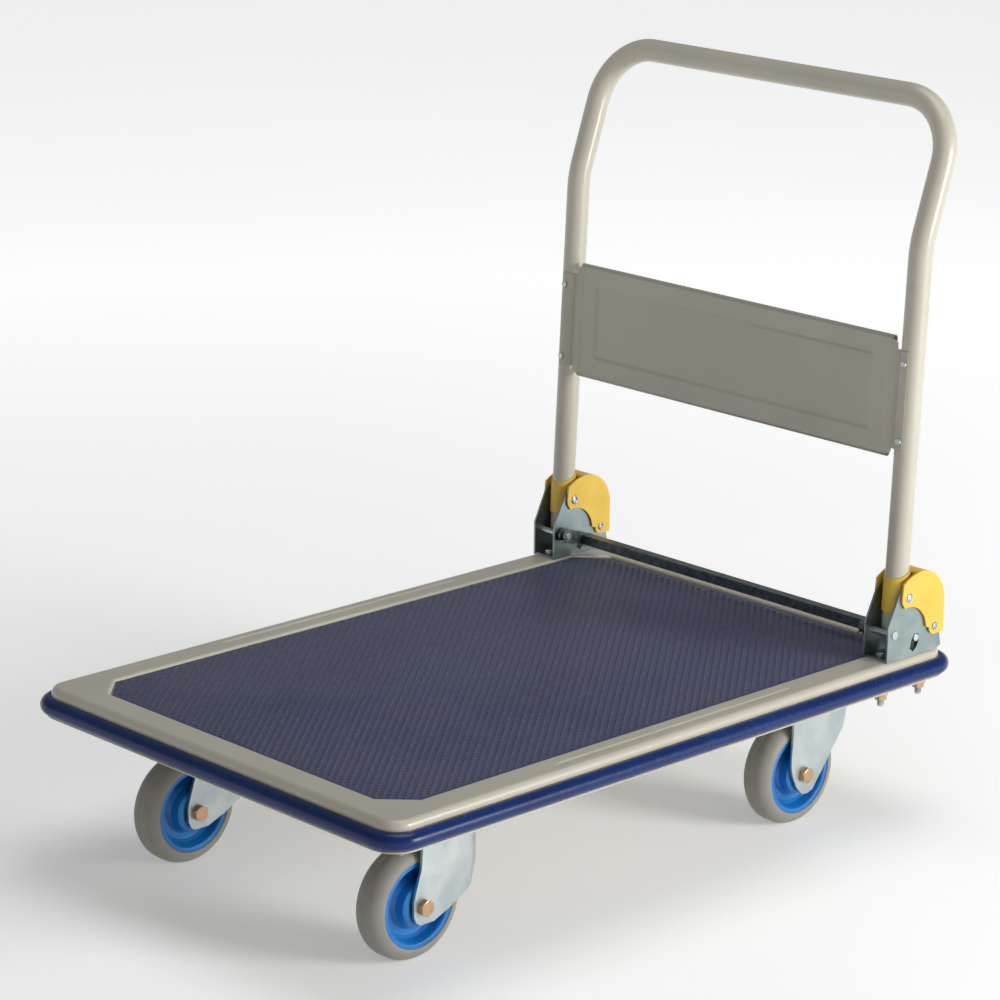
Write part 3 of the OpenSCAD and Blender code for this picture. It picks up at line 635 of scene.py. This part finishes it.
def handle_path():
    """Centre line of the handle in its own frame, from one foot to the other."""
    back, up = GRIP_X - PIVOT[0], GRIP_Z - PIVOT[1]
    slope = math.radians(LEAN + BEND_A)
    lean, bend = math.radians(LEAN), math.radians(BEND_A)
    cut = BEND_R * math.tan(bend / 2)
    leg = (up * math.sin(slope) - back * math.cos(slope)) / math.sin(bend) - cut
    run = (back * math.cos(lean) - up * math.sin(lean)) / math.sin(bend) - cut - CORNER_R
    half = [(0, -LEG_Y, -LEG_FOOT + (leg + LEG_FOOT) * i / 6) for i in range(7)]
    for x, z in arc(BEND_R, leg, BEND_R, 180, 180 - BEND_A, 12)[1:]:
        half.append((x, -LEG_Y, z))
    bx, bz = half[-1][0], half[-1][2]
    ux, uz = math.sin(bend), math.cos(bend)
    half.append((bx + ux * run / 2, -LEG_Y, bz + uz * run / 2))
    for a, b in arc(-LEG_Y + CORNER_R, run, CORNER_R, 180, 90, 20):
        half.append((bx + ux * b, a, bz + uz * b))
    return half + [(x, -y, z) for x, y, z in reversed(half)]


def tube_rings(path, radius, sides=48, across=Vector((1, 0, 0))):
    """Rings round a path; across is any direction that isn't along its start."""
    pts = [Vector(p) for p in path]
    rings = []
    for i, p in enumerate(pts):
        t = (pts[min(i + 1, len(pts) - 1)] - pts[max(i - 1, 0)]).normalized()
        a = across if i == 0 else a
        a = (a - t * a.dot(t)).normalized()
        b = t.cross(a)
        rings.append([tuple(p + radius * (a * math.cos(2 * math.pi * k / sides)
                                          + b * math.sin(2 * math.pi * k / sides)))
                      for k in range(sides)])
    return rings


def handle_tube():
    """A hollow bent tube with its foot ends broken by half a millimetre."""
    path = handle_path()
    outer = tube_rings(path, TUBE_R)
    inner = tube_rings(path, TUBE_R - TUBE_WALL)
    lip = tube_rings(path, TUBE_R - TUBE_BREAK)
    ends = [[(x, y, z - TUBE_BREAK) for x, y, z in ring] for ring in (lip[0], lip[-1])]
    rings = [inner[-1], ends[1]] + outer[::-1] + [ends[0]] + inner
    verts, faces = strip(rings, True, False)
    piece("handle_tube_bent", leaning(verts), faces, "handle_tube", sharp=50)


PANEL_X = -9.5
PANEL_HALF = LEG_Y - TUBE_R - 1.5
PANEL_Z = (166, 302)
PANEL_CORNER = 7
PANEL_SHEET = 1.2
EMBOSS_Y, EMBOSS_Z, EMBOSS_DEPTH, EMBOSS_SOFT = 225, (190, 279), 2.2, 5
RIDGE_Y, RIDGE_HALF, RIDGE_HEIGHT = 252, 5, 1.6
HEM_R = 3.2
TAB_Z = (174, 291)
TAB_R = TUBE_R + 0.8
DIMPLE_Z, DIMPLE_R, DIMPLE_DEPTH = 232, 5, 0.9


def eased(t):
    """A soft step from 0 to 1."""
    t = max(0.0, min(1.0, t))
    return t * t * (3 - 2 * t)


def within(v, low_end, high_end):
    """1 inside a range and 0 outside it, with soft ends."""
    return eased(min(v - low_end, high_end - v) / EMBOSS_SOFT + 0.5)


def panel_offset(y, z):
    """How far the sheet is set back: a pressed rectangle, and a ridge near each end."""
    pressed = within(y, -EMBOSS_Y, EMBOSS_Y) * within(z, *EMBOSS_Z)
    ridge = eased(1 - abs(abs(y) - RIDGE_Y) / RIDGE_HALF)
    return EMBOSS_DEPTH * pressed - RIDGE_HEIGHT * ridge


def panel_sheet():
    columns, rows = 300, 110
    z0, z1 = PANEL_Z
    r = PANEL_CORNER
    lines = []
    for i in range(rows + 1):
        z = z0 + (z1 - z0) * i / rows
        edge = min(z - z0, z1 - z)
        pull = r - math.sqrt(max(r * r - (r - edge) ** 2, 0)) if edge < r else 0
        w = PANEL_HALF - pull
        across = [-w + 2 * w * j / columns for j in range(columns + 1)]
        lines.append([(PANEL_X + panel_offset(y, z), y, z) for y in across])
    return strip(lines, False)


def panel_tab():
    """The left end's tab, which wraps the front of the leg and has a pressed dimple."""
    rows = 60
    bend = [math.radians(a) for a in range(-18, 54, 2)]
    plan = [(-TAB_R * math.cos(a), TAB_R * math.sin(a)) for a in bend]
    flat_y = TAB_R * math.sin(math.radians(53))
    plan += [(PANEL_X + 0.05, flat_y + 1), (PANEL_X + 0.05, flat_y + 4)]
    lines = []
    for i in range(rows + 1):
        z = TAB_Z[0] + (TAB_Z[1] - TAB_Z[0]) * i / rows
        points = []
        for x, y in plan:
            round_leg = (math.degrees(math.atan2(y, -x)) + 4) * TAB_R * math.pi / 180 - 4
            near = min(math.hypot(round_leg, z - DIMPLE_Z) / DIMPLE_R, 1)
            out = math.hypot(x, y)
            scale = (out + DIMPLE_DEPTH * math.cos(near * math.pi / 2)) / out
            points.append((x * scale, -LEG_Y + y * scale, z))
        lines.append(points)
    return strip(lines, False)


def panel_hem(z, turn):
    """The edge at height z rolled backwards, towards +z or -z as turn says."""
    roll = [(PANEL_X + HEM_R - HEM_R * math.cos(math.radians(a)),
             z - turn * HEM_R * math.sin(math.radians(a))) for a in range(0, 181, 18)]
    roll.append((PANEL_X + 2 * HEM_R, z + turn * 6))
    half = PANEL_HALF - PANEL_CORNER
    return strip([[(x, y, up) for x, up in roll] for y in (-half, half)], False)


def handle_panel():
    tab = panel_tab()
    verts, faces = joined(panel_sheet(), tab, mirrored(tab), panel_hem(PANEL_Z[0], 1),
                          panel_hem(PANEL_Z[1], -1))
    mesh = with_modifiers(closed_mesh("panel", leaning(verts), faces),
                          ("SOLIDIFY", {"thickness": PANEL_SHEET * MM, "offset": 0}))
    settle("handle_panel_pressed", mesh, "handle_panel", "panel_paint", sharp=40)


# ------------------------------------------------------------------ wheels

WHEELS = ("front_left", "front_right", "rear_left", "rear_right")
WHEEL_R = 65
RIM_R = 50
SHOULDER_R = 16
BORE_R = 6.15                           # of the bearings
BEARING_R, BEARING_W = 15.9, 9


def wheel_centre(which):
    return (low("rim_" + which) + high("rim_" + which)) / 2


def both_ways(side):
    """A profile that is the same on both sides of the wheel, from the points of one side."""
    return side + [(r, -h) for r, h in reversed(side)]


def tread_profile():
    side = [(RIM_R - 0.5, -18.6), (RIM_R + 0.3, -19.7)]
    for degrees in range(10, 91, 5):
        a = math.radians(degrees)
        side.append((WHEEL_R - SHOULDER_R + SHOULDER_R * math.sin(a),
                     -4 - SHOULDER_R * math.cos(a)))
    parting_line = [(WHEEL_R, -0.6), (WHEEL_R - 0.25, -0.25)]
    return both_ways(side + parting_line)


def rim_profile():
    """Hub boss, deep dish and outer flange."""
    hub = [(16.5, -21.5), (21, -21.5), (24.5, -19.5), (25.5, -9)]
    dish = [(30, -5), (37, -4.4), (41, -8), (43.2, -16)]
    flange = [(44.6, -18.4), (49.4, -18.4), (RIM_R, -17.6)]
    bearing_seat = [(16.1, 21), (16.1, -21)]
    return rounded(both_ways(hub + dish + flange) + bearing_seat, 0.9, 3)


def bearing_profile(side):
    """Two rings and the set-back shield between them; side is -1 or 1."""
    face, shield = side * 21.2, side * 20.6
    return [(BORE_R, face), (8.6, face), (8.9, shield), (13.2, shield), (13.5, face),
            (BEARING_R, face), (BEARING_R, face - side * BEARING_W),
            (BORE_R, face - side * BEARING_W)]


def wheels():
    tread, rim = tread_profile(), rim_profile()
    for which in WHEELS:
        c = wheel_centre(which)
        piece("tyre_" + which + "_moulded", *lathe(tread, *c, 160), "tyre_" + which, sharp=60)
        piece("rim_" + which + "_moulded", *lathe(rim, *c, 128), "rim_" + which, sharp=50)
        bearings = [lathe(bearing_profile(side), *c, 64) for side in (-1, 1)]
        piece("bearings_" + which + "_shielded", *joined(*bearings), "bearings_" + which,
              sharp=30)


# ------------------------------------------------------------------ fasteners

def place(shape, origin, axis):
    """Moves a shape drawn along +Z so that it runs from origin along axis."""
    turn = Vector((0, 0, 1)).rotation_difference(Vector(axis)).to_matrix()
    verts, faces = shape
    return [tuple(turn @ Vector(v) + Vector(origin)) for v in verts], faces


def hexagon(across, height, bore=0.0):
    """A hexagon with turned corners at both ends, standing on z = 0."""
    steps = 72
    face_r = across / 2
    land = face_r * 0.95
    rings = []
    for i in range(steps):
        a = math.radians(360 * i / steps)
        r = face_r / math.cos((a + math.pi / 6) % (math.pi / 3) - math.pi / 6)
        drop = (r - land) * math.tan(math.radians(30))
        column = [(bore, 0), (land, 0), (r, drop), (r, height - drop), (land, height),
                  (bore, height)]
        rings.append([(q * math.cos(a), q * math.sin(a), z) for q, z in column])
    return strip(rings, bore > 0, True)


def shank(d, length, pitch, plain):
    """A shank standing on z = 0, plain up to a height and then with thread crests."""
    steps = 40
    r = d / 2
    root = r - pitch * 0.54
    side = [(0, 0), (r, 0), (r, plain)]
    z = plain
    while z + pitch < length - pitch:
        side += [(root, z + 0.3 * pitch), (root, z + 0.42 * pitch), (r, z + 0.8 * pitch),
                 (r, z + pitch)]
        z += pitch
    side += [(r, length - pitch), (root, length), (0, length)]
    rings = []
    for i in range(steps):
        a = 2 * math.pi * i / steps
        rings.append([(q * math.cos(a), q * math.sin(a), up) for q, up in side])
    return strip(rings, False, True)


def solid_boxes(node):
    """The (low, high) corners of each separate solid of a node, from its mesh islands."""
    bm = bmesh.new()
    bm.from_mesh(frame["nodes"][node].data)
    bmesh.ops.remove_doubles(bm, verts=bm.verts, dist=2e-6)
    seen, found = set(), []
    for start in bm.verts:
        if start.index in seen:
            continue
        island, stack = [], [start]
        seen.add(start.index)
        while stack:
            v = stack.pop()
            island.append(v.co)
            for e in v.link_edges:
                w = e.other_vert(v)
                if w.index not in seen:
                    seen.add(w.index)
                    stack.append(w)
        found.append((Vector(map(min, *island)) / MM, Vector(map(max, *island)) / MM))
    bm.free()
    return found


UP, ACROSS = Vector((0, 0, 1)), Vector((0, 1, 0))
# node: size over flats, bore radius, axis
NUTS = {
    "bracket_nuts": (13, 4.05, UP),
    "front_caster_nuts": (13, 4.05, UP),
    "rear_caster_nuts": (13, 4.05, UP),
    "kingpin_nuts": (19, 6.05, UP),
    "front_axle_nuts": (17, 5.05, ACROSS),
    "rear_axle_nut_left": (17, 5.05, ACROSS),
    "rear_axle_nut_right": (17, 5.05, ACROSS),
}
# node: size over flats, head height, diameter, pitch, threaded length, direction of the tip
BOLTS = {
    "bracket_bolts": (13, 5.3, 8, 1.25, 30, -UP),
    "front_axle_bolts": (17, 6.4, 10, 1.5, 24, ACROSS),
    "rear_axle_bolt_left": (17, 6.4, 10, 1.5, 24, ACROSS),
    "rear_axle_bolt_right": (17, 6.4, 10, 1.5, 24, ACROSS),
    "front_caster_bolts": (13, 5.3, 8, 1.25, None, UP),
    "rear_caster_bolts": (13, 5.3, 8, 1.25, None, UP),
}
CASTER_BOLT_PLAIN = 2                   # these are threaded almost to the head


def fasteners():
    for node, (flats, bore, axis) in NUTS.items():
        shapes = []
        for lo, hi in solid_boxes(node):
            height = (hi - lo).dot(axis)
            shapes.append(place(hexagon(flats, height, bore), (lo + hi) / 2 - axis * height / 2,
                                axis))
        piece(node + "_chamfered", *joined(*shapes), node, sharp=25)
    for node, (flats, head, d, pitch, threaded, tip) in BOLTS.items():
        shapes = []
        for lo, hi in solid_boxes(node):
            whole = abs((hi - lo).dot(tip))
            seat = (lo + hi) / 2 - tip * (whole / 2 - head)
            length = whole - head
            plain = length - threaded if threaded else CASTER_BOLT_PLAIN
            shapes.append(place(hexagon(flats, head), seat, -tip))
            shapes.append(place(shank(d, length, pitch, plain), seat, tip))
        piece(node + "_threaded", *joined(*shapes), node, sharp=25)


# ------------------------------------------------------------------ plates and mouldings

STOP_PIN = Vector((346.5, 243))         # X and Z; the latch rod's slot goes round it
SLOT_R, SLOT_REACH = 39.9, 5.3          # middle line of the slot, and how far its edges lie off it
SLOT_START, SLOT_SWEEP = -8.2, 30.1     # degrees
SLOT_ENDS, SLOT_SWELL = 0.72, 0.62      # width as a part of the CAD's, at the ends and added to it
STEP_X, STEP_Z = 405, (227, 229)        # where the bracket's rear step is in the CAD
STEP_END, STEP_LIFT = 426.5, 7.5
RAIL_LIFT = 4
RAIL_WEB_Z, WASHER_TOP_Z = 175, 167.5   # the lower flange and the washer's upper face move
FORK_CREASE, FORK_STRETCH = 24, 1.38
FORK_INSIDE = 28.5                      # half the width between which the wings lie
CROWN_BACK = 38                         # the crown moves only further back than this
COVER_HALF, FILLER_HALF = 21.5, 19.5    # cover's outer faces and its filler, from the leg's axis
COVER_RIVET = (415, 241)


def bracket_shape(p):
    """Raises the rear step up to the cover's lobe and widens the rod's slot."""
    if p.x > STEP_X and STEP_Z[0] < p.z < STEP_Z[1]:
        return Vector((min(p.x, STEP_END), p.y, p.z + STEP_LIFT))
    arm = Vector((p.x, p.z)) - STOP_PIN
    if p.x > 375 and 215 < p.z < 240 and abs(arm.length - SLOT_R) < SLOT_REACH:
        along = (SLOT_START - math.degrees(math.atan2(arm.y, arm.x))) / SLOT_SWEEP
        wide = SLOT_ENDS + SLOT_SWELL * math.sin(math.pi * min(max(along, 0), 1))
        arm *= (SLOT_R + (arm.length - SLOT_R) * wide) / arm.length
        return Vector((STOP_PIN.x + arm.x, p.y, STOP_PIN.y + arm.y))
    return p


def rail_shape(p):
    return Vector((p.x, p.y, p.z + RAIL_LIFT)) if p.z < RAIL_WEB_Z else p


def washer_shape(p):
    return Vector((p.x, p.y, p.z + RAIL_LIFT)) if p.z > WASHER_TOP_Z else p


def wide_fork(axle_x, axle_y, top, crown):
    """Moves a fork's points so that its wings reach further back behind the crease.

    Everything there moves up to the height top, and only the crown's rear between top and crown.
    """
    def moved(p):
        back = p.x - axle_x - FORK_CREASE
        wing = p.z < top or (p.z < crown and back > CROWN_BACK)
        if back > 0 and abs(p.y - axle_y) < FORK_INSIDE and wing:
            return Vector((axle_x + FORK_CREASE + back * FORK_STRETCH, p.y, p.z))
        return p
    return moved


def cover_filler(side):
    """Closes a hinge cover's top against the tube."""
    outline = [(380.5, 294), (380.5, 312.4), (386, 313.6), (394, 312.6), (394, 300)]
    shape = prism(outline, -LEG_Y - FILLER_HALF, -LEG_Y + FILLER_HALF)
    return shape if side == "left" else mirrored(shape)


def rivet_heads():
    """Hollow rivets: a domed flange with a dimple, one on each face of the cover."""
    for node, r, (x, z) in (("pivot_rivets", 5.6, PIVOT), ("cover_rivets", 4.9, COVER_RIVET)):
        head = [(0, 0.5), (r * 0.36, 0.5), (r * 0.5, 1.2), (r * 0.62, 1.75), (r * 0.74, 1.8),
                (r * 0.9, 1.25), (r, 0.5), (r, -0.1), (0, -0.1)]
        head = rounded(head, 0.3, 3, False)
        shapes = [lathe([(q, out * h) for q, h in head], x, side * LEG_Y + out * COVER_HALF, z, 48)
                  for side in (-1, 1) for out in (-1, 1)]
        y0, y1 = -LEG_Y - COVER_HALF - 0.1, -LEG_Y + COVER_HALF + 0.1
        shank_solid = lathe([(0, y0), (3, y0), (3, y1), (0, y1)], x, 0, z, 32)
        piece(node + "_hollow", *joined(*shapes, shank_solid, mirrored(shank_solid)), node,
              sharp=40)


SPRING_WIRE_R, SPRING_COIL_R = 0.8, 5.2
SPRING_Y = (-249.5, -246.3)             # of the coil's two ends, on the left side
SPRING_START, SPRING_TURNS = -113.4, 2.065
SPRING_LEG = 42
HOOK_X, HOOK_Y = 333.7, -259
WIRE_SIDES = 12


def wire_pair(path):
    """A capped round wire along a path, and its mirror image."""
    verts, faces = strip(tube_rings(path, SPRING_WIRE_R, WIRE_SIDES, Vector((0.2, 0.3, 1))))
    last = len(verts) - WIRE_SIDES
    faces += [tuple(range(WIRE_SIDES)), tuple(last + k for k in reversed(range(WIRE_SIDES)))]
    return joined((verts, faces), mirrored((verts, faces)))


def return_springs():
    """Each spring is a coil with a hook on the bracket, and a leg that moves with the bar."""
    x, z = STOP_PIN
    y0, y1 = SPRING_Y
    start = math.radians(SPRING_START)
    steps = 64
    coil = []
    for i in range(steps + 1):
        a = math.radians(SPRING_START + 360 * SPRING_TURNS * i / steps)
        coil.append((x + SPRING_COIL_R * math.cos(a), y0 + (y1 - y0) * i / steps,
                     z + SPRING_COIL_R * math.sin(a)))
    leg = [coil[0], (coil[0][0] - math.sin(start) * SPRING_LEG, y0,
                     coil[0][2] + math.cos(start) * SPRING_LEG)]
    foot = z - SPRING_COIL_R
    hook = [coil[-1], (x - 6, y1, foot), (HOOK_X, y1, foot), (HOOK_X, HOOK_Y, foot)]
    coil += rounded(hook, 1.5, 4, False)[1:]
    for name, path in (("return_spring_coils", coil), ("return_spring_legs", leg)):
        obj = settle(name, raw_mesh(name, *wire_pair(path)), "return_springs", sharp=50)
        if name == "return_spring_legs":
            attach(obj, "release_bar")


FRONT_AXLE_X, REAR_AXLE_X = -324, 286
# node: width of the rounding
PLAIN_PARTS = {
    "cross_member_front": 0.8, "cross_member_rear": 0.8, "centre_stiffener": 0.8,
    "stop_pins": 0.8, "stop_pin_clips": 0.2, "panel_screws": 0.9, "latch_rods": 0.8,
    "kingpins": 0.5,
}
CAD_SHAPES = ("front_axle_sleeves", "rear_axle_sleeve_left", "rear_axle_sleeve_right",
              "swivel_balls_left", "swivel_balls_right")


def plates():
    for side, y in (("left", -190), ("right", 190)):
        fixed_wings = wide_fork(FRONT_AXLE_X, y, 163.9, 164.1)
        swivel_wings = wide_fork(REAR_AXLE_X, y, 149.9, 153.6)
        refined("hinge_bracket_" + side, 0.5, look="bracket_zinc", shape=bracket_shape)
        refined("hinge_cover_" + side, 0.9, segments=4, extra=cover_filler(side))
        refined("fixed_fork_" + side, 0.8, limit=28, shape=fixed_wings)
        refined("swivel_fork_" + side, 0.8, limit=28, shape=swivel_wings)
        refined("swivel_plate_" + side, 0.6)
        refined("side_rail_" + side, 0.8, shape=rail_shape)
    for node, size in PLAIN_PARTS.items():
        refined(node, size)
    refined("bracket_washers", 0.25, shape=washer_shape)
    # the release bar gets the darker zinc, which is painted shade
    refined("release_bar", 0.6, look="bar_zinc_painted_shade")
    for node in CAD_SHAPES:
        data = frame["nodes"][node].data
        data.materials.clear()
        data.materials.append(MATERIALS[NODE_SLOT[node]])


# ------------------------------------------------------------------ stage

def area_light(name, at, aim, size, power, colour=(1, 1, 1)):
    data = bpy.data.lights.new(name, "AREA")
    data.shape = "RECTANGLE"
    data.size, data.size_y = size
    data.energy = power
    data.color = colour
    obj = bpy.data.objects.new(name, data)
    obj.location = at
    obj.rotation_euler = (Vector(aim) - Vector(at)).to_track_quat("-Z", "Y").to_euler()
    scene.collection.objects.link(obj)


def stage():
    """A pale floor that glows near the object, a sky with a bright horizon, and two lights."""
    mesh = bpy.data.meshes.new("floor")
    reach = 12.0
    mesh.from_pydata([(-reach, -reach, 0), (reach, -reach, 0), (reach, reach, 0),
                      (-reach, reach, 0)], [], [(0, 1, 2, 3)])
    floor = bpy.data.objects.new("floor", mesh)
    scene.collection.objects.link(floor)
    s = Surface("pale_floor").fixed(Roughness=0.7, Specular_IOR_Level=0.2)
    s.colour(s.ramp(s.noise(900, 2), [(0.3, "#f4f4f3"), (0.7, "#f8f8f7")]))
    distance = s.nodes.new("ShaderNodeVectorMath")
    distance.operation = "LENGTH"
    s.links.new(s.place, distance.inputs[0])
    glow = s.span(distance.outputs["Value"], 0.24, 0.62, from_low=0.6, from_high=3.0)
    s.links.new(glow, s.shader.inputs["Emission Strength"])
    s.fixed(Emission_Color=(1, 1, 1, 1))
    mesh.materials.append(s.material)

    world = bpy.data.worlds.new("studio")
    scene.world = world
    world.use_nodes = True
    background = world.node_tree.nodes["Background"]
    nodes, links = world.node_tree.nodes, world.node_tree.links
    split = nodes.new("ShaderNodeSeparateXYZ")
    links.new(nodes.new("ShaderNodeTexCoord").outputs["Generated"], split.inputs["Vector"])
    sky = nodes.new("ShaderNodeValToRGB")
    horizon, zenith = sky.color_ramp.elements
    horizon.position, horizon.color = 0.10, (0.75, 0.75, 0.75, 1)
    zenith.position, zenith.color = 0.24, (0.21, 0.21, 0.22, 1)
    links.new(split.outputs["Z"], sky.inputs["Fac"])
    links.new(sky.outputs["Color"], background.inputs["Color"])
    aim = (0.0, 0.0, 0.3)
    area_light("key", (1.6, -4.0, 1.25), aim, (1.8, 1.6), 155)
    area_light("top", (0.5, -0.2, 3.6), aim, (2.6, 2.0), 40)
    scene.view_settings.view_transform = "Standard"


def camera():
    """The reference view: a long lens from the front left corner, a little above the deck."""
    azimuth, elevation, roll = (math.radians(v) for v in (-43.964, 16.055, 0.723))
    at = Vector((-2795.1, -2887.6, 1566.0)) * MM
    back = Vector((math.sin(azimuth) * math.cos(elevation),
                   -math.cos(azimuth) * math.cos(elevation), math.sin(elevation)))
    right = (-back).cross(Vector((0, 0, 1))).normalized()
    up = right.cross(-back)
    right, up = (math.cos(roll) * right + math.sin(roll) * up,
                 -math.sin(roll) * right + math.cos(roll) * up)
    data = bpy.data.cameras.new("camera")
    data.sensor_width = 36
    data.lens = 3.6583 * data.sensor_width
    data.clip_end = 50
    obj = bpy.data.objects.new("camera", data)
    obj.matrix_world = Matrix.Translation(at) @ Matrix((right, up, back)).transposed().to_4x4()
    scene.collection.objects.link(obj)
    scene.camera = obj


deck_pan()
deck_mat()
bumper()
handle_tube()
handle_panel()
wheels()
fasteners()
plates()
rivet_heads()
return_springs()
stage()
camera()
